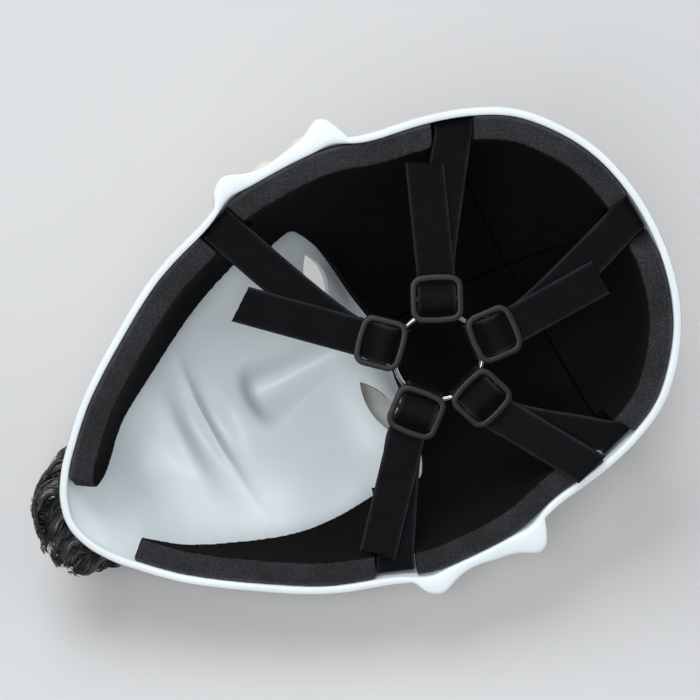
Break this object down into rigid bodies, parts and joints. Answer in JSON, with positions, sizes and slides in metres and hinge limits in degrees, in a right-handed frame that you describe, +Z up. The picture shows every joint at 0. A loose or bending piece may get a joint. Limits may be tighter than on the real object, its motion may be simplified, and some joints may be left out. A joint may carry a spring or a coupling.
{
  "type": "head mask",
  "caption": "Rigid cast head mask with ears and a curly chin beard, foam lined, held on the wearer's head by webbing straps with slide buckles on a steel ring.",
  "frame": {"origin": "middle of the bottom of the bounding box, on the surface that the mask lies on", "axes": "+Z up; +X towards the crown of the lying head, its longest extent; the open back faces up and towards -Y"},
  "size_m": [0.283, 0.1882, 0.149],
  "materials": {
    "resin": "smooth satin cast resin, white inside and warm ivory outside",
    "hair": "glossy black synthetic curls",
    "foam": "matt foam, black on its skin and dark grey on its cut faces",
    "webbing": "finely ribbed black webbing",
    "steel": "dark plated steel wire",
    "buckle_plastic": "satin black moulded plastic"
  },
  "bodies": {
    "root": {"face_shell": "resin", "beard": "hair", "pad_left_cheek": "foam", "pad_right_cheek": "foam", "pad_left_temple": "foam", "pad_right_temple": "foam", "pad_left_crown": "foam", "pad_right_crown": "foam", "strap_crown": "webbing", "strap_left_upper": "webbing", "strap_left_lower": "webbing", "strap_right_lower": "webbing", "strap_right_upper": "webbing", "hub_ring": "steel", "buckle_crown": "buckle_plastic", "buckle_left_upper": "buckle_plastic", "buckle_left_lower": "buckle_plastic", "buckle_right_lower": "buckle_plastic", "buckle_right_upper": "buckle_plastic"}
  },
  "joints": []
}
